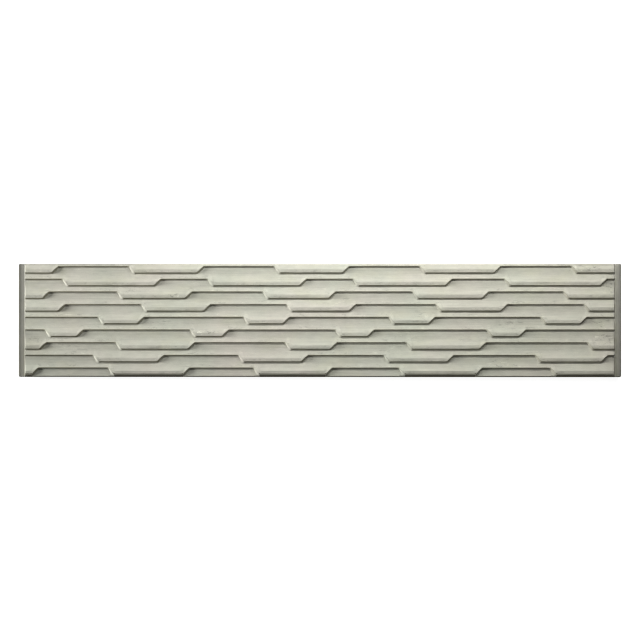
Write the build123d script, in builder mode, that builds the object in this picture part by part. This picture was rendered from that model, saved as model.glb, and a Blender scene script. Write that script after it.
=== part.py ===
"""A concrete fence board, cast in one piece: plain end tongues and a face of stepped, scooped courses.

The board lies on its flat back. X runs along its length, Y points to its top edge and Z up out of its face.
The origin is at the middle of the back. All sizes are in millimetres, and angles in degrees.
"""

import math
import os

from build123d import *

# Overall sizes. The thickness is up to the ridges, before they are rounded
LENGTH = 2000.0
HEIGHT = 376.0
THICKNESS = 45.0

# Plain tongues at the two ends, which slide into the grooves of the posts
TONGUE_LENGTH = 21.0
TONGUE_THICKNESS = 30.0
CORNER_RADIUS = 6.0

# The field's ends and its long edges lean inwards above the level of the tongues, to leave the mould
END_LEAN = 22.0
UPPER_LEAN = 20.0
LOWER_LEAN = 33.0
TONGUE_BEVEL = 2.0

# Section of one course, measured down from the high level of the ledge above it
LEDGE_PITCH = 42.0
LEDGE_DROP = 22.0
LAST_DROP = 24.0
SCOOP_WIDTH = 53.5
SCOOP_DIP = 8.0
SCOOP_RADIUS = 110.0
RIDGE_RADIUS = 5.0
LAND_SLOPE = 9.0
WALL_DRAFT = 26.0

# Plan of the ledges: how far the first high level lies below the top edge, and how the cranks run
FIRST_LEDGE = 7.0
RISE_RUN = 21.0
FALL_RUN = 17.0
PLAN_RADIUS = 8.0

# The pattern comes back every REPEAT, and its copies don't stand quite evenly
REPEAT = 488.0
REPEAT_SHIFTS = (0.0, -6.0, -13.0, -1.0)

# Where each ledge rises to its high level, and where it falls to its low one, from the start of a repeat
LEDGES = (
    (125.0, 381.0),
    (465.0, 160.0),
    (86.0, 349.0),
    (147.0, 422.0),
    (409.0, 279.0),
    (208.0, 102.0),
    (85.0, 337.0),
    (470.0, 262.0),
    (64.0, 312.0),
)

# Cranks that stand off the pattern: how far a rise and a fall are moved, by ledge and copy
STRAYS = {
    (1, 3): (10.0, 0.0),
    (2, 0): (8.0, -7.0),
    (2, 1): (0.0, -6.0),
    (2, 2): (-6.0, 8.0),
    (2, 3): (0.0, 5.0),
    (3, 2): (0.0, 12.0),
    (6, 1): (10.0, 80.0),
    (6, 3): (-8.0, 97.0),
    (7, 0): (5.0, 0.0),
    (7, 3): (8.0, 0.0),
    (8, 0): (-6.0, 0.0),
    (8, 1): (14.0, 0.0),
    (8, 2): (5.0, 0.0),
}


def arc_rise(run):
    """How far the scoop's arc climbs over a run from its lowest line."""
    return SCOOP_RADIUS - math.sqrt(SCOOP_RADIUS**2 - run**2)


# Floor of the scoops, and the level just under it from which the courses stand up
SCOOP_FLOOR = THICKNESS - arc_rise(SCOOP_WIDTH - SCOOP_DIP)
ROOT = SCOOP_FLOOR - 1.0
COURSES = math.ceil((HEIGHT - FIRST_LEDGE) / LEDGE_PITCH) + 1


def ledge_level(index):
    """Y of the high level of a ledge. The first ledge under the top edge is 0."""
    return HEIGHT / 2 - FIRST_LEDGE - index * LEDGE_PITCH


def ledge_drop(index):
    """How far a ledge's low level lies under its high one. The last ledge drops almost to the lower edge."""
    return LAST_DROP if index == len(LEDGES) - 1 else LEDGE_DROP


def ledge_cranks(index):
    """Cranks of one ledge from left to right, as pairs of the middle's X and the step that it makes."""
    rise, fall = LEDGES[index % len(LEDGES)]
    drop = ledge_drop(index)
    cranks = []
    for copy in range(-1, math.ceil(LENGTH / REPEAT) + 1):
        start = copy * REPEAT + REPEAT_SHIFTS[copy % len(REPEAT_SHIFTS)] - LENGTH / 2
        rise_shift, fall_shift = STRAYS.get((index, copy), (0.0, 0.0))
        cranks.append((start + rise + rise_shift, drop))
        cranks.append((start + fall + fall_shift, -drop))
    return sorted(cranks)


def ledge_corners(index):
    """Corners of one ledge's crest line in plan, from beyond the left end to beyond the right one."""
    cranks = ledge_cranks(index)
    starts_low = cranks[0][1] > 0
    y = ledge_level(index) - (ledge_drop(index) if starts_low else 0.0)
    corners = [(cranks[0][0] - REPEAT, y)]
    for middle, step in cranks:
        run = RISE_RUN if step > 0 else FALL_RUN
        corners.append((middle - run / 2, y))
        y += step
        corners.append((middle + run / 2, y))
    corners.append((cranks[-1][0] + REPEAT, y))
    return corners


def make_course(index):
    """One course, from the high level of the ledge above it down to the drafted wall of its own ledge."""
    top = ledge_level(index - 1)
    land_width = 2 * LEDGE_PITCH
    land_fall = land_width * math.tan(math.radians(LAND_SLOPE))
    land_end = top - SCOOP_WIDTH - land_width
    corners = ledge_corners(index)
    spread = (THICKNESS - ROOT) * math.tan(math.radians(WALL_DRAFT))

    # The drafted walls run from the crest's plan down to a wider copy of it at the root
    with BuildPart() as course:
        with BuildSketch(Plane.XY.offset(THICKNESS)) as plan:
            with BuildLine():
                crest = FilletPolyline(*corners, radius=PLAN_RADIUS)
                Polyline(crest @ 0, (corners[0][0], top), (corners[-1][0], top), crest @ 1)
            make_face()
        with BuildSketch(Plane.XY.offset(ROOT)):
            add(plan.sketch_local)
            offset(amount=spread, kind=Kind.INTERSECTION)
        loft(ruled=True)
        with BuildSketch(Plane.YZ) as section:
            with BuildLine():
                scoop = ThreePointArc(
                    (top, SCOOP_FLOOR + arc_rise(SCOOP_DIP)),
                    (top - SCOOP_DIP, SCOOP_FLOOR),
                    (top - SCOOP_WIDTH, THICKNESS),
                )
                Polyline(
                    scoop @ 1,
                    (land_end, THICKNESS - land_fall),
                    (land_end, 0),
                    (top, 0),
                    scoop @ 0,
                )
            make_face()
            ridge = section.vertices().sort_by(Axis.Y)[-1]
            fillet(ridge, radius=RIDGE_RADIUS)
        extrude(amount=LENGTH, both=True, mode=Mode.INTERSECT)
    return course.part


def lean_section(half_width, left_lean, right_lean):
    """Section across the field: upright sides up to the level of the tongues, and leaning ones above it."""
    rise = THICKNESS - TONGUE_THICKNESS
    Polygon(
        (-half_width, 0),
        (half_width, 0),
        (half_width, TONGUE_THICKNESS),
        (half_width - rise * math.tan(math.radians(right_lean)), THICKNESS),
        (rise * math.tan(math.radians(left_lean)) - half_width, THICKNESS),
        (-half_width, TONGUE_THICKNESS),
        align=None,
    )


courses = [make_course(index) for index in range(COURSES)]
half_field = LENGTH / 2 - TONGUE_LENGTH

with BuildPart() as field:
    with BuildSketch():
        Rectangle(2 * half_field, HEIGHT)
    extrude(amount=(ROOT + SCOOP_FLOOR) / 2)
    add(courses)
    with BuildSketch(Plane.XZ):
        lean_section(half_field, END_LEAN, END_LEAN)
    extrude(amount=HEIGHT, both=True, mode=Mode.INTERSECT)
    with BuildSketch(Plane.YZ):
        lean_section(HEIGHT / 2, LOWER_LEAN, UPPER_LEAN)
    extrude(amount=LENGTH, both=True, mode=Mode.INTERSECT)

with BuildPart() as tongues:
    with BuildSketch():
        RectangleRounded(LENGTH, HEIGHT, CORNER_RADIUS)
        Rectangle(2 * half_field, HEIGHT, mode=Mode.SUBTRACT)
    extrude(amount=TONGUE_THICKNESS)
    upper = tongues.edges().group_by(Axis.Z)[-1]
    outer = upper.filter_by(lambda edge: abs(edge.center().X) > half_field + 0.01)
    chamfer(outer, length=TONGUE_BEVEL)

with BuildPart() as fence_board:
    add(field.part)
    add(tongues.part)

fence_board.part.label = "fence_board"
os.makedirs("parts", exist_ok=True)
export_step(fence_board.part, "parts/fence_board.step")
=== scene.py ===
"""A cast concrete fence board, lying on its back and seen from straight above.

The board is one piece. A net of points that follows its ledges is laid out flat, and a Geometry Nodes tree
raises the relief out of it by the rule of the casting: scoops, ridges, drafted walls and plain tongues.
Sizes are in metres and angles in degrees, where no comment says otherwise.
"""

import math
from functools import reduce

import bpy
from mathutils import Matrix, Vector


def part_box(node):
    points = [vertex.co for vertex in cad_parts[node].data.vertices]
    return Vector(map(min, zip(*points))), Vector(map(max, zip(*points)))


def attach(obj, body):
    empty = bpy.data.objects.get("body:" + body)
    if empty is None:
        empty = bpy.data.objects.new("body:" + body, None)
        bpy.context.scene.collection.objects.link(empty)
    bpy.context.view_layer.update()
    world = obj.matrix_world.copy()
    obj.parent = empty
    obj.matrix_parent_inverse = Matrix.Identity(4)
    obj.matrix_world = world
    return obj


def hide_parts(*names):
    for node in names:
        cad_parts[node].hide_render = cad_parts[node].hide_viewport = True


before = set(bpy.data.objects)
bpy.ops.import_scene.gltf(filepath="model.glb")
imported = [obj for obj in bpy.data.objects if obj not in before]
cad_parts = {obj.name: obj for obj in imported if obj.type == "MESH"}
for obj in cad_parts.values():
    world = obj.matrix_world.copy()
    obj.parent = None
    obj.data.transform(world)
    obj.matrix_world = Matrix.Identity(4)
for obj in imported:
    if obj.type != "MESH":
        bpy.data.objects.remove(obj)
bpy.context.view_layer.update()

# Overall sizes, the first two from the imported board
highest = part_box("fence_board")[1]
HALF_LENGTH = highest.x
HALF_HEIGHT = highest.y
THICKNESS = 0.045

# Plain tongues and the leaning sides of the field between them
TONGUE_LENGTH = 0.021
TONGUE_THICKNESS = 0.030
TONGUE_BEVEL = 0.002
TONGUE_FOOT = HALF_LENGTH - TONGUE_LENGTH
CORNER_RADIUS = 0.006
END_LEAN = 22.0
UPPER_LEAN = 20.0
LOWER_LEAN = 33.0

# Section of a course
LEDGE_PITCH = 0.0420
LEDGE_DROP = 0.0220
LAST_DROP = 0.0240
SCOOP_WIDTH = 0.0535
SCOOP_DIP = 0.008
SCOOP_RADIUS = 0.110
LAND_SLOPE = 9.0
WALL_DRAFT = 26.0

# Plan of the ledges. A crank's wall is wider than the draft gives, by the share RISE_EASE or FALL_EASE
FIRST_LEDGE = 0.0070
RISE_RUN = 0.021
FALL_RUN = 0.017
CRANK_ROUND = 0.0033
RISE_EASE = 0.3
FALL_EASE = 0.6

# The pattern comes back every REPEAT, and its copies don't stand quite evenly
REPEAT = 0.488
REPEAT_SHIFTS = (0.0, -0.006, -0.013, -0.001)

# Where each ledge rises to its high level, and where it falls to its low one, from the start of a repeat
LEDGES = (
    (0.125, 0.381),
    (0.465, 0.160),
    (0.086, 0.349),
    (0.147, 0.422),
    (0.409, 0.279),
    (0.208, 0.102),
    (0.085, 0.337),
    (0.470, 0.262),
    (0.064, 0.312),
)

# Cranks that stand off the pattern: how far a rise and a fall are moved, by ledge and copy
STRAYS = {
    (1, 3): (0.010, 0.0),
    (2, 0): (0.008, -0.007),
    (2, 1): (0.0, -0.006),
    (2, 2): (-0.006, 0.008),
    (2, 3): (0.0, 0.005),
    (3, 2): (0.0, 0.012),
    (6, 1): (0.010, 0.080),
    (6, 3): (-0.008, 0.097),
    (7, 0): (0.005, 0.0),
    (7, 3): (0.008, 0.0),
    (8, 0): (-0.006, 0.0),
    (8, 1): (0.014, 0.0),
    (8, 2): (0.005, 0.0),
}

# Spacing of the net: across the board beside a ledge and beside an edge, and along it beside an end. The
# rows beside two lines take at most MOST_TAKEN of the gap between them, and ROWS_BETWEEN share the rest
BELOW_LEDGE = (0.0, 0.0010, 0.0023, 0.0036, 0.0048, 0.0070)
ABOVE_LEDGE = (0.0007, 0.0020, 0.0050, 0.0100, 0.0115, 0.0130, 0.0145)
BESIDE_EDGE = (0.0, 0.0009, 0.0020, 0.0030, 0.0045)
BESIDE_END = (
    0.0, 0.0010, 0.0022, 0.0060, 0.0110, 0.0160, 0.0195, 0.0206,
    0.0218, 0.0233, 0.0250, 0.0267, 0.0284, 0.0300, 0.0318, 0.0345,
)
MOST_TAKEN = 0.9
ROWS_BETWEEN = 3
COLUMN_STEP = 0.0041
BACK_ROWS = 14
SIDE_LEVELS = (0.024, 0.012, 0.001)
BACK_BEVEL = 0.001
SHARP_ANGLE = 50.0

# What the relief and the finish read from the net, and what it says off the face. FAR is too far to matter
MEASURES = ("scoop", "past_ledge", "before_ledge", "crank_above", "own_crank", "face")
FAR = 1.0
OFF_FACE = (0.0, FAR, FAR, 0.0, 0.0, 0.0)

# Roundings and unevenness of the casting
RIDGE_ROUND = 0.0010
CREST_ROUND = 0.0016
FOOT_ROUND = 0.0008
LAND_UNEVENNESS = 1.6
WAVINESS = 0.0003
ARRIS_WEAR = 0.0004
NOISE_SEED = 7.0

# Noise of that unevenness: changes per metre and detail
WANDER_NOISE = (28.0, 2.0)
CHIP_NOISE = (75.0, 2.0)
CHIP_START = 0.18
LAND_NOISE = (11.0, 2.0)
WORN_NOISE = (9.0, 3.0)
WORN_STRETCH = (1.0, 4.0, 1.0)

# Colours of the concrete
WARM_SKIN = (0.541, 0.513, 0.443, 1.0)
GREENISH_SKIN = (0.499, 0.511, 0.425, 1.0)
OLIVE_SKIN = (0.515, 0.510, 0.405, 1.0)
# Painted shade: dark olive on the drafted walls under the ledges
WALL_SHADE = (0.27, 0.25, 0.155, 1.0)
# Painted shade: near black for the lower side, which leans away from the lamps
LOW_SHADE = (0.13, 0.12, 0.085, 1.0)
# Tongues are darker concrete; the right tongue's greys and moss are lighter still as painted light, making
# up for the shade the field's end casts on it
LEFT_INNER_GREY = (0.315, 0.312, 0.272, 1.0)
RIGHT_INNER_GREY = (0.540, 0.528, 0.452, 1.0)
LEFT_OUTER_GREY = (0.160, 0.156, 0.132, 1.0)
RIGHT_OUTER_GREY = (0.352, 0.345, 0.296, 1.0)
LEFT_MOSS = (0.275, 0.270, 0.215, 1.0)
RIGHT_MOSS = (0.370, 0.365, 0.275, 1.0)

# Noise of the finish that is the same all ways: changes per metre, detail and roughness
SAND_NOISE = (900.0, 2.0, 0.6)
GRIT_NOISE = (260.0, 4.0, 0.6)
PORE_NOISE = (210.0, 1.0, 0.5)
EDGE_NOISE = (60.0, 2.0, 0.5)
PATCH_NOISE = (8.0, 4.0, 0.6)
HUE_NOISE = (5.0, 3.0, 0.5)

# Noise that runs one way: changes per metre along the board and across it, detail and roughness
CLOUD_NOISE = (30.0, 60.0, 3.0, 0.6)
STREAK_NOISE = (7.0, 190.0, 3.0, 0.6)
OLIVE_NOISE = (9.0, 20.0, 3.0, 0.5)
# Patches of the painted highlight on the crests
CREST_HIGHLIGHT_NOISE = (26.0, 60.0, 3.0, 0.65)
SMUDGE_NOISE = (22.0, 30.0, 3.0, 0.65)
SMEAR_NOISE = (42.0, 90.0, 3.0, 0.7)
CLUSTER_NOISE = (5.0, 13.0, 2.0, 0.5)
BRUSH_NOISE = (150.0, 5.0, 3.0, 0.6)
MOTTLE_NOISE = (60.0, 28.0, 3.0, 0.6)

# Where such noise starts to show and where it is full. For scratches, where it is full and where it ends
PORE_STEP = (0.50, 0.72)
HUE_STEP = (-0.5, 0.5)
OLIVE_STEP = (-0.1, 0.5)
# Where the patches of painted crest highlight show
CREST_HIGHLIGHT_STEP = (-0.1, 0.5)
SMUDGE_STEP = (0.08, 0.48)
CLUSTER_STEP = (0.12, 0.50)
SMEAR_STEP = (0.06, 0.40)
SCRATCH_STEP = (-0.44, -0.12)
MOSS_STEP = (-0.3, 0.5)

# How much brighter or darker each mark makes the concrete, where 1 is its plain brightness
PATCH_TONE = 0.10
CLOUD_TONE = 0.15
STREAK_TONE = 0.15
PORE_TONE = -0.15
SAND_TONE = 0.10
# Painted highlight: the ridge is made paler where it tilts towards the top lamp
RIDGE_HIGHLIGHT_TONE = 0.17
# Painted light just past the foot of each wall, where its shadow falls
FOOT_LIGHT_TONE = 0.06
# Painted highlight, in patches, along the crests just before each ledge
CREST_HIGHLIGHT_TONE = 0.18
SMUDGE_TONE = -0.20
# Painted highlight on the crests of the cranks
RIM_HIGHLIGHT_TONE = 0.07
SMEAR_TONE = -0.30
SCRATCH_TONE = 0.22
# Painted highlight on the walls of the falls, which face the left lamp
FALL_HIGHLIGHT_TONE = 0.11
BRUSH_TONE = 0.16
MOTTLE_TONE = 0.12
# Painted light on the right end's leaning side and the tongue's foot, which lie in shade
END_SIDE_LIGHT_TONE = 0.30
# Painted shade along the field's margin at the right end
END_MARGIN_SHADE_TONE = -0.22

# Distances over which a mark comes or goes: under the high level of a course, then before its ledge
# The first reach spans the painted highlight on the ridge, the third the painted highlight before crests
RIDGE_HIGHLIGHT_REACH = (0.012, 0.050)
LAND_REACH = (0.042, 0.053)
CREST_HIGHLIGHT_REACH = (0.0005, 0.0050)
SMUDGE_REACH = (0.003, 0.013)
SMEAR_REACH = (0.004, 0.014)
LOW_CREST_REACH = (0.0018, 0.0046)

# Bands in which a mark starts, is full, fades and ends: before a ledge, past it, and past it on its wall
# The first band holds the painted highlight on crank crests, the second the painted light past wall feet
RIM_HIGHLIGHT_BAND = (0.001, 0.003, 0.005, 0.010)
FOOT_LIGHT_BAND = (0.0042, 0.0060, 0.0085, 0.0150)
WALL_BAND = (-0.0006, 0.0008, 0.0030, 0.0050)

# How far into a crank a mark comes or goes, where 1 is well inside one
# The first holds the painted highlight on crank crests
RIM_HIGHLIGHT_CRANK = (0.2, 0.8)
FALL_CRANK = (0.1, 0.6)
LOW_SHADE_CRANK = (0.1, 0.7)

# Painted shade on the walls, the painted highlight on the walls of the falls, and olive, by the place along
# the board: where a change starts and ends, and its two values
LEVEL_SHADE = (-1.0, 0.1, 0.60, 0.38)
FALL_SHADE = (0.2, 0.7, 0.0, 0.24)
FALL_HIGHLIGHT_PART = (-0.1, 0.5)
OLIVE_RIGHT = (0.0, 0.9, 0.0, 0.25)
OLIVE_SHARE = 0.7

# Painted shade on the lower side: how far it reaches down the wall under a low crest, and up from the lower
# edge
LOW_SHADE_REACH = (0.0095, 0.0130)
LOW_SHADE_HEIGHT = (0.0125, 0.0160)
LOW_SHADE_SHARE = 0.8

# Smears: how thick they lie in loose clusters, before a crest, on the open course and in the rubbed patches
CLUSTER_SHARE = 0.85
CREST_SHARE = 0.75
OPEN_SHARE = 0.06
RUBBED_SHARE = 1.7

# Finish of the tongues: how ragged and how soft the edge at their feet is, then where marks come and go.
# These are counted outwards from the foot, but OUTER_REACH inwards from the board's end
LEFT_RAGGED = 0.0012
RIGHT_RAGGED = 0.0040
LEFT_SOFT = 0.008
RIGHT_SOFT = 0.014
BARE_START = 0.001
OUTER_REACH = (0.015, 0.004)
MOSS_REACH = (0.001, 0.013)
# Where the painted light on the right end's leaning side and the painted shade beside it come and go
END_SIDE_LIGHT_BAND = (-0.0045, -0.0015, 0.0015, 0.0060)
END_MARGIN_SHADE_BAND = (-0.0130, -0.0065, -0.0045, -0.0015)

# Moss on the tongues: how thick it lies, what is left of it away from the foot, and its change up the board
MOSS_SHARE = 0.85
MOSS_LEFT_OVER = 0.2
MOSS_UPWARDS = -1.6

# Grain and gloss of the surface
SAND_SHARE = 0.5
GRAIN_DEPTH = 0.0003
GRAIN_STRENGTH = 0.5
ROUGHNESS = 0.85
SPECULAR = 0.3

# Oval zones: x and y of the middle, half width, half height, and how much brighter or darker they are
OVAL_TONES = (
    (-0.850, -0.200, 0.500, 0.150, -0.14),
    (-0.985, -0.070, 0.100, 0.065, -0.20),
    (-0.100, 0.000, 0.300, 0.170, 0.035),
    (0.960, 0.120, 0.170, 0.120, -0.045),
    (-0.760, 0.190, 0.330, 0.013, -0.24),
    (0.860, 0.190, 0.260, 0.013, -0.30),
)
OVAL_FADE = (0.2, 1.1)

# Oval patches that are rubbed and scratched: x and y of the middle, half width and half height
RUBBED_PATCHES = (
    (0.615, -0.142, 0.070, 0.020),
    (0.930, -0.008, 0.050, 0.022),
    (0.935, -0.062, 0.045, 0.030),
    (0.880, 0.172, 0.080, 0.018),
    (0.955, 0.110, 0.030, 0.030),
    (-0.470, 0.083, 0.050, 0.010),
    (-0.380, -0.040, 0.060, 0.012),
    (-0.480, -0.092, 0.070, 0.012),
    (-0.060, -0.128, 0.060, 0.012),
)
RUBBED_FADE = (0.3, 1.1)

# Floor, lamps and surround
FLOOR_HALF = 8.0
FLOOR_GREY = (0.8, 0.8, 0.8, 1.0)
FLOOR_GLOW = 0.88
LAMP_TARGET_Z = 0.03
TOP_LAMP_X = 0.36
TOP_LAMP_Y = 0.88
TOP_LAMP_Z = 0.70
TOP_LAMP_SIZE = (1.85, 0.15)
TOP_LAMP_POWER = 14.4
LEFT_LAMP_DISTANCE = 4.5
LEFT_LAMP_BEARING = 8.0
LEFT_LAMP_RISE = 13.5
LEFT_LAMP_SIZE = (1.0, 1.3)
LEFT_LAMP_POWER = 265.0
SURROUND = 0.09

# Camera. The sensor is in millimetres, and the board is BOARD_PIXELS long in an image of IMAGE_SIZE
CAMERA_DISTANCE = 3.3
CAMERA_YAW = 0.5
CAMERA_AIM = (0.003, 0.0013)
SENSOR = 36.0
IMAGE_SIZE = 640
BOARD_PIXELS = 603.0
PIXEL_FILTER = 1.1


def new_object(name, data):
    """An object in the scene, at the origin."""
    made = bpy.data.objects.new(name, data)
    bpy.context.scene.collection.objects.link(made)
    return made


def side_slope(lean):
    """How fast a side rises that leans by an angle from upright."""
    return 1.0 / math.tan(math.radians(lean))


# Plan of the ledges

def ledge_level(index):
    """Y of the high level of a ledge. The first ledge under the top edge is 0."""
    return HALF_HEIGHT - FIRST_LEDGE - index * LEDGE_PITCH


def ledge_cranks(index):
    """Cranks of one ledge, as pairs of the middle's X and which way it steps: 1 up, -1 down."""
    rise, fall = LEDGES[index]
    cranks = []
    for copy in range(-1, math.ceil(2 * HALF_LENGTH / REPEAT) + 1):
        start = copy * REPEAT + REPEAT_SHIFTS[copy % len(REPEAT_SHIFTS)] - HALF_LENGTH
        rise_shift, fall_shift = STRAYS.get((index, copy), (0.0, 0.0))
        cranks.append((start + rise + rise_shift, 1))
        cranks.append((start + fall + fall_shift, -1))
    return sorted(cranks)


def ramp_sum(x, run):
    """Area under a ramp from 0 to 1 that is as long as a crank and has its middle at 0."""
    inside_run = min(max(x + run / 2, 0.0), run)
    return inside_run * inside_run / (2 * run) + max(x - run / 2, 0.0)


def soft_ramp(x, run):
    """Height and slope of that ramp with its two corners rounded."""
    before = x - CRANK_ROUND
    after = x + CRANK_ROUND
    height = (ramp_sum(after, run) - ramp_sum(before, run)) / (2 * CRANK_ROUND)
    steps = [min(max(place / run + 0.5, 0.0), 1.0) for place in (before, after)]
    return height, (steps[1] - steps[0]) / (2 * CRANK_ROUND)


def ledge_line(cranks, index, x):
    """Y of a ledge's crest line at x, the stretch along Y of a step square to it, and the crank at x.

    The crank is 1 in a fall, -1 in a rise and 0 on the level.
    """
    raised = 0.0 if cranks[0][1] > 0 else 1.0
    steepness = 0.0
    for middle, way in cranks:
        height, steep = soft_ramp(x - middle, RISE_RUN if way > 0 else FALL_RUN)
        raised += way * height
        steepness += way * steep
    drop = LAST_DROP if index == len(LEDGES) - 1 else LEDGE_DROP
    falling = min(max(-steepness * FALL_RUN, 0.0), 1.0)
    rising = min(max(steepness * RISE_RUN, 0.0), 1.0)
    stretch = (1.0 + FALL_EASE * falling + RISE_EASE * rising) * math.hypot(1.0, drop * steepness)
    return ledge_level(index) - drop * (1.0 - raised), stretch, falling - rising


# Flat net of the board, a closed tube round its section with a cap at each end

def column_places():
    """X of the net's columns, closer together beside the ends."""
    inner = HALF_LENGTH - BESIDE_END[-1]
    count = round(2 * inner / COLUMN_STEP)
    places = [-HALF_LENGTH + offset for offset in BESIDE_END]
    places += [-inner + 2 * inner * step / count for step in range(1, count)]
    places += [HALF_LENGTH - offset for offset in reversed(BESIDE_END)]
    return places


def band_rows(upper, lower, first, last, upper_stretch, lower_stretch):
    """Y of the net's rows from one line of a column down to just above the next line."""
    under = BESIDE_EDGE if first else [offset * upper_stretch for offset in BELOW_LEDGE]
    above = BESIDE_EDGE[1:] if last else [offset * lower_stretch for offset in ABOVE_LEDGE]
    gap = upper - lower
    squeeze = min(1.0, MOST_TAKEN * gap / (under[-1] + above[-1]))
    rows = [upper - squeeze * offset for offset in under]
    free = gap - squeeze * (under[-1] + above[-1])
    for step in range(ROWS_BETWEEN):
        rows.append(rows[len(under) - 1] - free * (step + 1) / (ROWS_BETWEEN + 1))
    rows += [lower + squeeze * offset for offset in reversed(above)]
    return rows


def face_points(x, ledges):
    """Points of one column of the face from top edge to bottom edge, with what the relief needs to know.

    Each is (y, distance under the high level above its course, distance past the ledge above, distance
    before its own ledge, crank of the ledge above, crank of its own ledge). The two distances from ledges
    are taken square to them.
    """
    lines = [(HALF_HEIGHT, 1.0, 0.0)]
    lines += [ledge_line(cranks, index, x) for index, cranks in enumerate(ledges)]
    lines.append((-HALF_HEIGHT, 1.0, 0.0))
    points = []
    for index, (line_above, own_line) in enumerate(zip(lines, lines[1:])):
        upper, upper_stretch, crank_above = line_above
        lower, lower_stretch, own_crank = own_line
        first = index == 0
        last = index == len(ledges)
        level = ledge_level(index - 1)
        for y in band_rows(upper, lower, first, last, upper_stretch, lower_stretch):
            past = FAR if first else (upper - y) / upper_stretch
            before = FAR if last else (y - lower) / lower_stretch
            points.append((y, level - y, past, before, crank_above, own_crank))

    # The last point is on the lower edge, in the last band
    points.append((lower, level - lower, upper - lower, FAR, crank_above, own_crank))
    return points


def under_points(x, at_end):
    """Points of one column round the lower side, the back and the upper side of the board."""
    back = HALF_HEIGHT - BACK_BEVEL
    level = BACK_BEVEL if at_end else 0.0
    points = [(x, -HALF_HEIGHT, z) for z in SIDE_LEVELS]
    points += [(x, -back + 2 * back * step / BACK_ROWS, level) for step in range(BACK_ROWS + 1)]
    points += [(x, HALF_HEIGHT, z) for z in reversed(SIDE_LEVELS)]
    return points


def round_corner(x, y):
    """A point of the plan moved so that the board's corners are round."""
    over_x = abs(x) - HALF_LENGTH + CORNER_RADIUS
    over_y = abs(y) - HALF_HEIGHT + CORNER_RADIUS
    if over_x <= 0.0 or over_y <= 0.0:
        return x, y
    shrink_x = math.sqrt(1.0 - over_y * over_y / (2 * CORNER_RADIUS ** 2))
    shrink_y = math.sqrt(1.0 - over_x * over_x / (2 * CORNER_RADIUS ** 2))
    round_x = HALF_LENGTH - CORNER_RADIUS + over_x * shrink_x
    round_y = HALF_HEIGHT - CORNER_RADIUS + over_y * shrink_y
    return math.copysign(round_x, x), math.copysign(round_y, y)


def net_faces(ring, columns):
    """Faces of a tube of columns that have a ring of points each, with a cap at each end."""
    faces = [tuple(reversed(range(ring)))]
    for column in range(columns - 1):
        start = column * ring
        for row in range(ring):
            following = (row + 1) % ring
            faces.append((start + row, start + following, start + ring + following, start + ring + row))
    faces.append(tuple(range((columns - 1) * ring, columns * ring)))
    return faces


def make_net():
    """The board's closed mesh with its face still flat, and the relief's measures as attributes."""
    ledges = [ledge_cranks(index) for index in range(len(LEDGES))]
    columns = column_places()
    points = []
    measures = []
    for x in columns:
        for y, *distances in face_points(x, ledges):
            points.append((*round_corner(x, y), TONGUE_THICKNESS))
            measures.append((*distances, 1.0))
        for x_side, y_side, z in under_points(x, at_end=x in (columns[0], columns[-1])):
            points.append((*round_corner(x_side, y_side), z))
            measures.append(OFF_FACE)
    mesh = bpy.data.meshes.new("fence_board_net")
    mesh.from_pydata(points, [], net_faces(len(points) // len(columns), len(columns)))
    for number, name in enumerate(MEASURES):
        attribute = mesh.attributes.new(name, "FLOAT", "POINT")
        attribute.data.foreach_set("value", [point_measures[number] for point_measures in measures])
    return mesh


# Helpers for node trees

def join(tree, value, socket):
    """Feeds a socket with another node's output, or sets it to a plain value."""
    if isinstance(value, bpy.types.NodeSocket):
        tree.links.new(value, socket)
    else:
        socket.default_value = value


def add(tree, kind, values=None, **settings):
    """A node with its settings and with its sockets fed by name or number."""
    node = tree.nodes.new(kind)
    for name, setting in settings.items():
        setattr(node, name, setting)
    for name, value in (values or {}).items():
        join(tree, value, node.inputs[name])
    return node


def calc(tree, operation, *terms):
    """A Math node's output."""
    return add(tree, "ShaderNodeMath", dict(enumerate(terms)), operation=operation).outputs[0]


def total(tree, *terms):
    """Sum of several values."""
    return reduce(lambda result, term: calc(tree, "ADD", result, term), terms)


def product(tree, *terms):
    """Product of several values."""
    return reduce(lambda result, term: calc(tree, "MULTIPLY", result, term), terms)


def mix(tree, factor, first, second):
    """A value that goes from the first to the second as a factor goes from 0 to 1."""
    return total(tree, product(tree, calc(tree, "SUBTRACT", second, first), factor), first)


def blend(tree, factor, first, second):
    """A mix of two colours."""
    node = add(tree, "ShaderNodeMix", {"Factor": factor}, data_type="RGBA")
    join(tree, first, node.inputs["A"])
    join(tree, second, node.inputs["B"])
    return node.outputs["Result"]


def ramp(tree, value, start, end, low_value=0.0, high_value=1.0):
    """A smooth step of a value from low_value at start to high_value at end."""
    values = {"Value": value, "From Min": start, "From Max": end, "To Min": low_value, "To Max": high_value}
    return add(tree, "ShaderNodeMapRange", values, interpolation_type="SMOOTHSTEP").outputs["Result"]


def fade(tree, value, start, end, strength=1.0):
    """A smooth step down of a value from strength at start to 0 at end."""
    return ramp(tree, value, start, end, strength, 0.0)


def band(tree, value, start, full, fading, end):
    """1 where a value is between full and fading, with a smooth step up before and one down behind."""
    return product(tree, ramp(tree, value, start, full), fade(tree, value, fading, end))


def measure(tree, name):
    """A float attribute of the mesh, in a geometry tree."""
    node = add(tree, "GeometryNodeInputNamedAttribute", {"Name": name}, data_type="FLOAT")
    return node.outputs["Attribute"]


def finish_measure(tree, name):
    """A float attribute of the mesh, in a material."""
    return add(tree, "ShaderNodeAttribute", attribute_name=name).outputs["Fac"]


def noise(tree, place, scale, detail, rough=0.5):
    """Noise from -1 to 1 at a place."""
    values = {"Vector": place, "Scale": scale, "Detail": detail, "Roughness": rough}
    node = add(tree, "ShaderNodeTexNoise", values)
    return calc(tree, "MULTIPLY_ADD", node.outputs[0], 2.0, -1.0)


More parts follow.
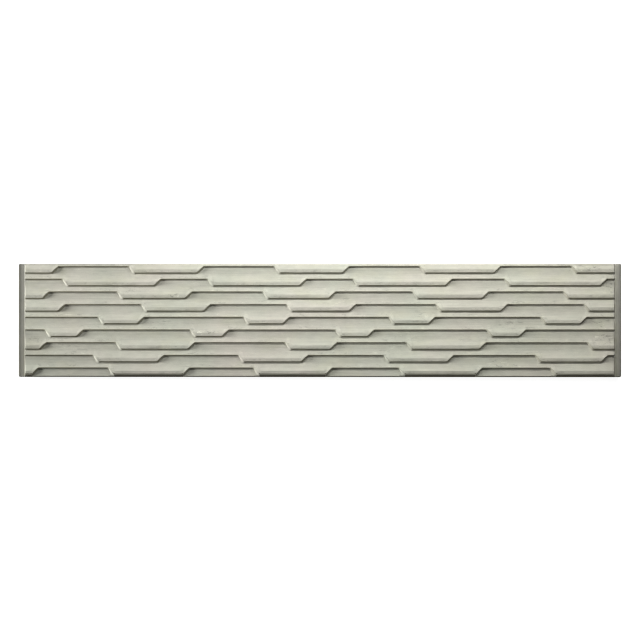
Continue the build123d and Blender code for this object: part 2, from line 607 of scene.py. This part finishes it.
def run_noise(tree, place, along, across, detail, rough):
    """Noise from -1 to 1 that changes by different amounts along the board and across it."""
    mapping = add(tree, "ShaderNodeMapping", {"Vector": place, "Scale": (along, across, across)})
    return noise(tree, mapping.outputs[0], 1.0, detail, rough)


# Relief of the face

RELIEF_SIZES = {
    "Thickness": THICKNESS,
    "Ledge pitch": LEDGE_PITCH,
    "Scoop width": SCOOP_WIDTH,
    "Scoop dip": SCOOP_DIP,
    "Scoop radius": SCOOP_RADIUS,
    "Land slope": math.tan(math.radians(LAND_SLOPE)),
    "Land unevenness": LAND_UNEVENNESS,
    "Wall slope": side_slope(WALL_DRAFT),
    "Ridge rounding": RIDGE_ROUND,
    "Crest rounding": CREST_ROUND,
    "Foot rounding": FOOT_ROUND,
    "Tongue thickness": TONGUE_THICKNESS,
    "Tongue bevel": TONGUE_BEVEL,
    "Half length": HALF_LENGTH,
    "Half height": HALF_HEIGHT,
    "Tongue length": TONGUE_LENGTH,
    "End slope": side_slope(END_LEAN),
    "Upper slope": side_slope(UPPER_LEAN),
    "Lower slope": side_slope(LOWER_LEAN),
    "Waviness": WAVINESS,
    "Arris wear": ARRIS_WEAR,
    "Seed": NOISE_SEED,
}


def round_rise(tree, radius, across):
    """How far a round hollow has risen at a distance across from its lowest line."""
    squares = calc(tree, "SUBTRACT", product(tree, radius, radius), product(tree, across, across))
    return calc(tree, "SUBTRACT", radius, calc(tree, "SQRT", squares))


def course_height(tree, size, scoop, past, unevenness):
    """Height of one course, cut by its wall.

    Its place is given by scoop, the distance under the course's high level, and past, the distance past
    its ledge.
    """
    radius = size["Scoop radius"]
    rise = round_rise(tree, radius, calc(tree, "SUBTRACT", size["Scoop width"], size["Scoop dip"]))
    floor = calc(tree, "SUBTRACT", size["Thickness"], rise)
    under = calc(tree, "MAXIMUM", scoop, 0.0)
    arc_rise = round_rise(tree, radius, calc(tree, "SUBTRACT", under, size["Scoop dip"]))
    arc = calc(tree, "ADD", floor, arc_rise)
    beyond = calc(tree, "SUBTRACT", under, size["Scoop width"])
    fall = product(tree, size["Land slope"], unevenness)
    land = calc(tree, "SUBTRACT", size["Thickness"], product(tree, beyond, fall))
    section = calc(tree, "SMOOTH_MIN", arc, land, size["Ridge rounding"])
    wall = calc(tree, "SUBTRACT", size["Thickness"], product(tree, past, size["Wall slope"]))
    return calc(tree, "SMOOTH_MIN", section, wall, size["Crest rounding"])


def courses_height(tree, size, place):
    """Height of the relief: the point's own course, or the course above where its wall is higher.

    The crests wander a little, as the liner's do, and are chipped in places.
    """
    wander = product(tree, noise(tree, place, *WANDER_NOISE), size["Waviness"])
    chips = calc(tree, "SUBTRACT", noise(tree, place, *CHIP_NOISE), CHIP_START)
    wear = product(tree, calc(tree, "MAXIMUM", chips, 0.0), size["Arris wear"])
    past_own = calc(tree, "SUBTRACT", wander, measure(tree, "before_ledge"))
    past_own = calc(tree, "ADD", past_own, wear)
    past_above = calc(tree, "ADD", measure(tree, "past_ledge"), calc(tree, "ADD", wander, wear))
    scoop = measure(tree, "scoop")
    patchy = calc(tree, "MULTIPLY_ADD", noise(tree, place, *LAND_NOISE), size["Land unevenness"], 1.0)
    own = course_height(tree, size, scoop, past_own, patchy)
    scoop_above = calc(tree, "ADD", scoop, size["Ledge pitch"])
    above = course_height(tree, size, scoop_above, past_above, patchy)
    return calc(tree, "SMOOTH_MAX", own, above, size["Foot rounding"])


def board_height(tree, size, relief, x, y):
    """Height of the board: the relief between the leaning sides of the field, and the tongues."""
    from_end = calc(tree, "SUBTRACT", size["Half length"], calc(tree, "ABSOLUTE", x))
    from_edge = calc(tree, "SUBTRACT", size["Half height"], calc(tree, "ABSOLUTE", y))
    over_tongue = calc(tree, "SUBTRACT", from_end, size["Tongue length"])
    end_side = calc(tree, "MULTIPLY_ADD", over_tongue, size["End slope"], size["Tongue thickness"])
    is_upper = calc(tree, "GREATER_THAN", y, 0.0)
    edge_slope = mix(tree, is_upper, size["Lower slope"], size["Upper slope"])
    edge_side = calc(tree, "MULTIPLY_ADD", from_edge, edge_slope, size["Tongue thickness"])
    field = calc(tree, "SMOOTH_MIN", relief, end_side, size["Crest rounding"])
    field = calc(tree, "SMOOTH_MIN", field, edge_side, size["Foot rounding"])
    bevel = calc(tree, "MINIMUM", calc(tree, "MINIMUM", from_end, from_edge), size["Tongue bevel"])
    tongue = calc(tree, "ADD", size["Tongue thickness"], bevel)
    tongue = calc(tree, "SUBTRACT", tongue, size["Tongue bevel"])
    return calc(tree, "SMOOTH_MAX", field, tongue, size["Foot rounding"])


def relief_tree():
    """Geometry Nodes tree that raises the face of the net and gives the casting its unevenness."""
    tree = bpy.data.node_groups.new("cast_relief", "GeometryNodeTree")
    tree.interface.new_socket("Geometry", in_out="INPUT", socket_type="NodeSocketGeometry")
    tree.interface.new_socket("Material", in_out="INPUT", socket_type="NodeSocketMaterial")
    for name in RELIEF_SIZES:
        tree.interface.new_socket(name, in_out="INPUT", socket_type="NodeSocketFloat")
    tree.interface.new_socket("Geometry", in_out="OUTPUT", socket_type="NodeSocketGeometry")
    size = tree.nodes.new("NodeGroupInput").outputs
    place = tree.nodes.new("GeometryNodeInputPosition").outputs[0]
    x, y, z = add(tree, "ShaderNodeSeparateXYZ", {"Vector": place}).outputs
    seed = add(tree, "ShaderNodeCombineXYZ", {"X": size["Seed"], "Y": size["Seed"]}).outputs[0]
    seeded = add(tree, "ShaderNodeVectorMath", {0: place, 1: seed}, operation="ADD").outputs[0]
    height = board_height(tree, size, courses_height(tree, size, seeded), x, y)

    # Slow unevenness, which only takes away
    drawn = add(tree, "ShaderNodeVectorMath", {0: seeded, 1: WORN_STRETCH}, operation="MULTIPLY").outputs[0]
    worn_off = calc(tree, "SUBTRACT", noise(tree, drawn, *WORN_NOISE), 1.0)
    height = calc(tree, "ADD", height, product(tree, worn_off, size["Waviness"]))

    new_z = mix(tree, measure(tree, "face"), z, height)
    moved = add(tree, "ShaderNodeCombineXYZ", {"X": x, "Y": y, "Z": new_z}).outputs[0]
    values = {"Geometry": size["Geometry"], "Position": moved}
    raised = add(tree, "GeometryNodeSetPosition", values).outputs[0]
    plain = add(tree, "GeometryNodeRealizeInstances", {"Geometry": raised}).outputs[0]
    values = {"Geometry": plain, "Material": size["Material"]}
    covered = add(tree, "GeometryNodeSetMaterial", values).outputs[0]
    add(tree, "NodeGroupOutput", {0: covered})
    return tree


def make_board(material):
    """The board with its relief raised, as a plain mesh."""
    net = new_object("fence_board_net", make_net())
    modifier = net.modifiers.new("cast_relief", "NODES")
    modifier.node_group = relief_tree()
    items = modifier.node_group.interface.items_tree
    sockets = {item.name: item.identifier for item in items if item.in_out == "INPUT"}
    modifier[sockets["Material"]] = material
    for name, value in RELIEF_SIZES.items():
        modifier[sockets[name]] = value
    evaluated = net.evaluated_get(bpy.context.evaluated_depsgraph_get())
    mesh = bpy.data.meshes.new_from_object(evaluated)
    bpy.data.objects.remove(net)
    mesh.name = "fence_board_cast"
    mesh.shade_smooth()
    mesh.set_sharp_from_angle(angle=math.radians(SHARP_ANGLE))
    return new_object("fence_board_cast", mesh)


# Finish of the field

def cement_tone(tree, place, sand):
    """Brightness of the cement skin: slow patches, clouds, streaks along the board, pores and sand."""
    pores = ramp(tree, noise(tree, place, *PORE_NOISE), *PORE_STEP)
    return total(
        tree,
        product(tree, noise(tree, place, *PATCH_NOISE), PATCH_TONE),
        product(tree, run_noise(tree, place, *CLOUD_NOISE), CLOUD_TONE),
        product(tree, run_noise(tree, place, *STREAK_NOISE), STREAK_TONE),
        product(tree, pores, PORE_TONE),
        product(tree, sand, SAND_TONE),
    )


def course_tone(tree, place):
    """Brightness by the place on a course.

    The ridge, the crests and the crank rims are paler as painted highlights, and the band past the foot of
    a wall as painted light; grey smudges lie in front of some crests.
    """
    scoop = finish_measure(tree, "scoop")
    before = finish_measure(tree, "before_ledge")
    past = finish_measure(tree, "past_ledge")
    cranked = calc(tree, "ABSOLUTE", finish_measure(tree, "own_crank"))
    crest_highlights = ramp(tree, run_noise(tree, place, *CREST_HIGHLIGHT_NOISE), *CREST_HIGHLIGHT_STEP)
    smudges = ramp(tree, run_noise(tree, place, *SMUDGE_NOISE), *SMUDGE_STEP)
    on_land = product(tree, fade(tree, before, *SMUDGE_REACH), ramp(tree, scoop, *LAND_REACH))
    rim_highlight = product(tree, ramp(tree, cranked, *RIM_HIGHLIGHT_CRANK), band(tree, before, *RIM_HIGHLIGHT_BAND))
    return total(
        tree,
        ramp(tree, scoop, *RIDGE_HIGHLIGHT_REACH, 0.0, RIDGE_HIGHLIGHT_TONE),
        product(tree, fade(tree, before, *CREST_HIGHLIGHT_REACH), crest_highlights, CREST_HIGHLIGHT_TONE),
        product(tree, on_land, smudges, SMUDGE_TONE),
        product(tree, rim_highlight, RIM_HIGHLIGHT_TONE),
        product(tree, band(tree, past, *FOOT_LIGHT_BAND), FOOT_LIGHT_TONE),
    )


def patch_distance(tree, x, y, patch):
    """Distance from the middle of an oval patch, which is 1 at its edge."""
    middle_x, middle_y, half_width, half_height = patch
    across = product(tree, calc(tree, "SUBTRACT", x, middle_x), 1.0 / half_width)
    up = product(tree, calc(tree, "SUBTRACT", y, middle_y), 1.0 / half_height)
    squares = total(tree, product(tree, across, across), product(tree, up, up))
    return calc(tree, "SQRT", squares)


def oval_tone(tree, x, y):
    """Darker zones at the two ends, along the top edge and at the lower left corner, and a paler one in the
    middle.
    """
    tones = []
    for *patch, strength in OVAL_TONES:
        tones.append(fade(tree, patch_distance(tree, x, y, patch), *OVAL_FADE, strength))
    return total(tree, *tones)


def smear_tone(tree, place, x, y):
    """Dark smears and pale scratches: thick in the rubbed patches, thinner before crests and elsewhere."""
    before = finish_measure(tree, "before_ledge")
    fine = run_noise(tree, place, *SMEAR_NOISE)
    where = ramp(tree, run_noise(tree, place, *CLUSTER_NOISE), *CLUSTER_STEP, 0.0, CLUSTER_SHARE)
    where = calc(tree, "MAXIMUM", where, ramp(tree, before, *SMEAR_REACH, CREST_SHARE, OPEN_SHARE))
    for patch in RUBBED_PATCHES:
        reach = fade(tree, patch_distance(tree, x, y, patch), *RUBBED_FADE, RUBBED_SHARE)
        where = calc(tree, "MAXIMUM", where, reach)
    dark = ramp(tree, fine, *SMEAR_STEP, 0.0, SMEAR_TONE)
    pale = fade(tree, fine, *SCRATCH_STEP, SCRATCH_TONE)
    return product(tree, total(tree, dark, pale), where)


def wall_reach(tree):
    """1 on the drafted walls."""
    return band(tree, finish_measure(tree, "past_ledge"), *WALL_BAND)


def fall_reach(tree):
    """1 where the ledge above falls."""
    return ramp(tree, finish_measure(tree, "crank_above"), *FALL_CRANK)


def wall_shade(tree, x):
    """How thick the painted shade is on the walls, which differs between a fall and the rest of a ledge."""
    level = ramp(tree, x, *LEVEL_SHADE)
    falling = ramp(tree, x, *FALL_SHADE)
    return product(tree, wall_reach(tree), mix(tree, fall_reach(tree), level, falling))


def low_shade(tree, y):
    """Painted shade on the lower side where the last ledge runs low, from just above its crest to the edge.
    """
    near_crest = fade(tree, finish_measure(tree, "before_ledge"), *LOW_CREST_REACH)
    under_crest = fade(tree, finish_measure(tree, "past_ledge"), *LOW_SHADE_REACH)
    low_down = fade(tree, total(tree, y, HALF_HEIGHT), *LOW_SHADE_HEIGHT)
    cranked = calc(tree, "ABSOLUTE", finish_measure(tree, "crank_above"))
    level = fade(tree, cranked, *LOW_SHADE_CRANK, LOW_SHADE_SHARE)
    reach = calc(tree, "MAXIMUM", near_crest, product(tree, under_crest, level))
    return product(tree, reach, low_down)


def field_colour(tree, place, x, y):
    """Skin of the field, warm, greenish or olive by turns, with painted shade on its walls and low down."""
    hue = ramp(tree, noise(tree, place, *HUE_NOISE), *HUE_STEP)
    skin = blend(tree, hue, WARM_SKIN, GREENISH_SKIN)
    olive = ramp(tree, run_noise(tree, place, *OLIVE_NOISE), *OLIVE_STEP, 0.0, OLIVE_SHARE)
    skin = blend(tree, total(tree, olive, ramp(tree, x, *OLIVE_RIGHT)), skin, OLIVE_SKIN)
    # Painted shade on the walls under the ledges
    skin = blend(tree, wall_shade(tree, x), skin, WALL_SHADE)
    # Painted shade on the lower side
    return blend(tree, low_shade(tree, y), skin, LOW_SHADE)


def field_tone(tree, place, x, y, sand):
    """Brightness of the field. The walls of its falls have a painted highlight, which fades out towards the
    right end.
    """
    fall_highlight = product(tree, wall_reach(tree), fall_reach(tree), fade(tree, x, *FALL_HIGHLIGHT_PART, FALL_HIGHLIGHT_TONE))
    return total(
        tree,
        cement_tone(tree, place, sand),
        course_tone(tree, place),
        oval_tone(tree, x, y),
        smear_tone(tree, place, x, y),
        fall_highlight,
        1.0,
    )


# Finish of the tongues

def tongue_reach(tree, place, end, is_right):
    """1 on the tongues and 0 on the field. The edge between them is ragged, and softer at the right end."""
    raggedness = mix(tree, is_right, LEFT_RAGGED, RIGHT_RAGGED)
    ragged = product(tree, noise(tree, place, *EDGE_NOISE), raggedness)
    start = mix(tree, is_right, TONGUE_FOOT - LEFT_SOFT, TONGUE_FOOT - RIGHT_SOFT)
    return ramp(tree, total(tree, end, ragged), start, TONGUE_FOOT + BARE_START)


def tongue_colour(tree, y, end, is_right, mottled):
    """Bare grey that is dark at the outer arris, with moss at the foot and low down. The right tongue is
    painted lighter, as painted light on a tongue that lies in the shade of the field's end.
    """
    outer = ramp(tree, end, *(HALF_LENGTH - offset for offset in OUTER_REACH))
    inner_grey = blend(tree, is_right, LEFT_INNER_GREY, RIGHT_INNER_GREY)
    outer_grey = blend(tree, is_right, LEFT_OUTER_GREY, RIGHT_OUTER_GREY)
    bare = blend(tree, outer, inner_grey, outer_grey)
    mossy = blend(tree, is_right, LEFT_MOSS, RIGHT_MOSS)
    reach = ramp(tree, end, *(TONGUE_FOOT + offset for offset in MOSS_REACH), 1.0, MOSS_LEFT_OVER)
    growth = ramp(tree, total(tree, mottled, product(tree, y, MOSS_UPWARDS)), *MOSS_STEP)
    return blend(tree, product(tree, growth, reach, MOSS_SHARE), bare, mossy)


def tongue_tone(tree, place, x, mottled):
    """Brightness of the tongues: brushed from edge to edge, with painted light on the right end's leaning
    side and painted shade along the field's margin beside it.
    """
    brushed = run_noise(tree, place, *BRUSH_NOISE)
    lit_end_side = band(tree, x, *(TONGUE_FOOT + offset for offset in END_SIDE_LIGHT_BAND))
    margin_shade = band(tree, x, *(TONGUE_FOOT + offset for offset in END_MARGIN_SHADE_BAND))
    return total(
        tree,
        product(tree, brushed, BRUSH_TONE),
        product(tree, mottled, MOTTLE_TONE),
        1.0,
        product(tree, lit_end_side, END_SIDE_LIGHT_TONE),
        product(tree, margin_shade, END_MARGIN_SHADE_TONE),
    )


def make_concrete():
    """Pale grey cast concrete, worn and streaked, with painted shade on its walls and lower side, painted
    highlights and light on its courses and falls and at its right end, and darker tongues.
    """
    material = bpy.data.materials.new("cast_concrete")
    material.use_nodes = True
    tree = material.node_tree
    tree.nodes.clear()
    place = tree.nodes.new("ShaderNodeTexCoord").outputs["Object"]
    axes = add(tree, "ShaderNodeSeparateXYZ", {"Vector": place}).outputs
    x = axes["X"]
    y = axes["Y"]
    end = calc(tree, "ABSOLUTE", x)
    is_right = calc(tree, "GREATER_THAN", x, 0.0)
    sand = noise(tree, place, *SAND_NOISE)
    mottled = run_noise(tree, place, *MOTTLE_NOISE)

    on_tongue = tongue_reach(tree, place, end, is_right)
    bare = tongue_colour(tree, y, end, is_right, mottled)
    colour = blend(tree, on_tongue, field_colour(tree, place, x, y), bare)
    bare_tone = tongue_tone(tree, place, x, mottled)
    tone = mix(tree, on_tongue, field_tone(tree, place, x, y, sand), bare_tone)
    toned = add(tree, "ShaderNodeVectorMath", {0: colour, "Scale": tone}, operation="SCALE")

    grain = calc(tree, "MULTIPLY_ADD", sand, SAND_SHARE, noise(tree, place, *GRIT_NOISE))
    bump_values = {"Height": grain, "Distance": GRAIN_DEPTH, "Strength": GRAIN_STRENGTH}
    bump = add(tree, "ShaderNodeBump", bump_values)
    surface_values = {
        "Base Color": toned.outputs[0],
        "Roughness": ROUGHNESS,
        "Specular IOR Level": SPECULAR,
        "Normal": bump.outputs[0],
    }
    shader = add(tree, "ShaderNodeBsdfPrincipled", surface_values)
    add(tree, "ShaderNodeOutputMaterial", {"Surface": shader.outputs[0]})
    return material


# Stage

def make_floor_material():
    """Pale grey that takes shadows, and that the camera, gloss and glass see as white."""
    material = bpy.data.materials.new("pale_floor")
    material.use_nodes = True
    tree = material.node_tree
    tree.nodes.clear()
    path = tree.nodes.new("ShaderNodeLightPath").outputs
    seen = calc(tree, "MAXIMUM", path["Is Camera Ray"], path["Is Glossy Ray"])
    seen = calc(tree, "MAXIMUM", seen, path["Is Transmission Ray"])
    diffuse = add(tree, "ShaderNodeBsdfDiffuse", {"Color": FLOOR_GREY})
    glow = add(tree, "ShaderNodeEmission", {"Strength": product(tree, seen, FLOOR_GLOW)})
    both = add(tree, "ShaderNodeAddShader", {0: diffuse.outputs[0], 1: glow.outputs[0]})
    add(tree, "ShaderNodeOutputMaterial", {"Surface": both.outputs[0]})
    return material


def make_floor():
    """A plain pale floor, with the board's soft shadow on it."""
    corners = [(-1, -1), (1, -1), (1, 1), (-1, 1)]
    mesh = bpy.data.meshes.new("floor")
    mesh.from_pydata([(x * FLOOR_HALF, y * FLOOR_HALF, 0.0) for x, y in corners], [], [(0, 1, 2, 3)])
    mesh.materials.append(make_floor_material())
    floor = new_object("floor", mesh)


def make_lamp(name, place, target, size, power):
    """A soft rectangular lamp aimed at a point."""
    data = bpy.data.lights.new(name, "AREA")
    data.shape = "RECTANGLE"
    data.size, data.size_y = size
    data.energy = power
    lamp = new_object(name, data)
    lamp.location = place
    aim = Vector(target) - Vector(place)
    lamp.rotation_euler = aim.to_track_quat("-Z", "Y").to_euler()
    lamp.visible_camera = False


def make_light():
    """Soft studio light: a long lamp beyond the top edge, a low one to the left and a faint surround."""
    top = (TOP_LAMP_X, TOP_LAMP_Y, TOP_LAMP_Z)
    make_lamp("top_lamp", top, (TOP_LAMP_X, 0.0, LAMP_TARGET_Z), TOP_LAMP_SIZE, TOP_LAMP_POWER)
    bearing = math.radians(LEFT_LAMP_BEARING)
    left = (
        -LEFT_LAMP_DISTANCE * math.cos(bearing),
        LEFT_LAMP_DISTANCE * math.sin(bearing),
        LEFT_LAMP_DISTANCE * math.tan(math.radians(LEFT_LAMP_RISE)),
    )
    make_lamp("left_lamp", left, (0.0, 0.0, LAMP_TARGET_Z), LEFT_LAMP_SIZE, LEFT_LAMP_POWER)
    world = bpy.data.worlds.new("studio")
    bpy.context.scene.world = world
    world.use_nodes = True
    background = world.node_tree.nodes["Background"]
    background.inputs["Color"].default_value = (1.0, 1.0, 1.0, 1.0)
    background.inputs["Strength"].default_value = SURROUND


def make_camera():
    """The photograph's view: from straight above, a touch to the right of the middle."""
    data = bpy.data.cameras.new("camera")
    data.sensor_width = SENSOR
    to_board = CAMERA_DISTANCE - TONGUE_THICKNESS
    data.lens = SENSOR * BOARD_PIXELS / IMAGE_SIZE * to_board / (2 * HALF_LENGTH)
    camera = new_object("camera", data)
    yaw = math.radians(CAMERA_YAW)
    aside = CAMERA_DISTANCE * math.sin(yaw)
    camera.location = (CAMERA_AIM[0] + aside, CAMERA_AIM[1], CAMERA_DISTANCE * math.cos(yaw))
    camera.rotation_euler = (0.0, yaw, 0.0)
    bpy.context.scene.camera = camera


board = make_board(make_concrete())
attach(board, "root")
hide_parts("fence_board")

make_floor()
make_light()
make_camera()
bpy.context.scene.view_settings.view_transform = "Standard"
bpy.context.scene.cycles.filter_width = PIXEL_FILTER
